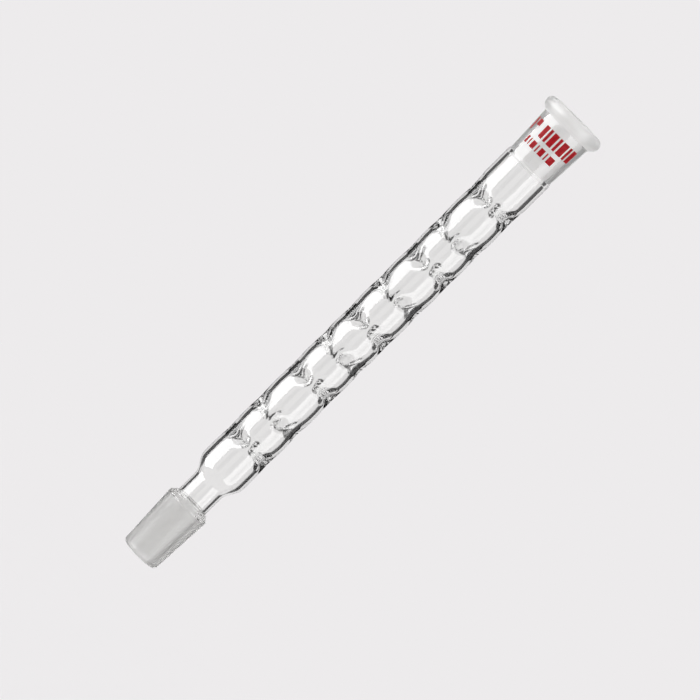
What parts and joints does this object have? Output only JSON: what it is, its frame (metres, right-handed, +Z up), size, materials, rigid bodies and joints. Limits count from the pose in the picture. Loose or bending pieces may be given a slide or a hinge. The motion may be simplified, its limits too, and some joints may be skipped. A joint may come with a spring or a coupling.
{
  "type": "vigreux column",
  "caption": "Straight glass fractionating column with rings of inward points, a ground cone below and a beaded ground socket above.",
  "frame": {"origin": "centre of the ground cone's lower end", "axes": "+Z up the column's axis towards the socket; +X and +Y run through the points of the lowest ring"},
  "size_m": [0.021, 0.021, 0.18],
  "materials": {
    "clear_glass": "clear fire-polished glass",
    "ground_glass": "fine-ground frosted glass of the joints",
    "red_enamel": "thin fired red enamel"
  },
  "bodies": {
    "root": {"glass_column": "clear_glass"}
  },
  "joints": []
}
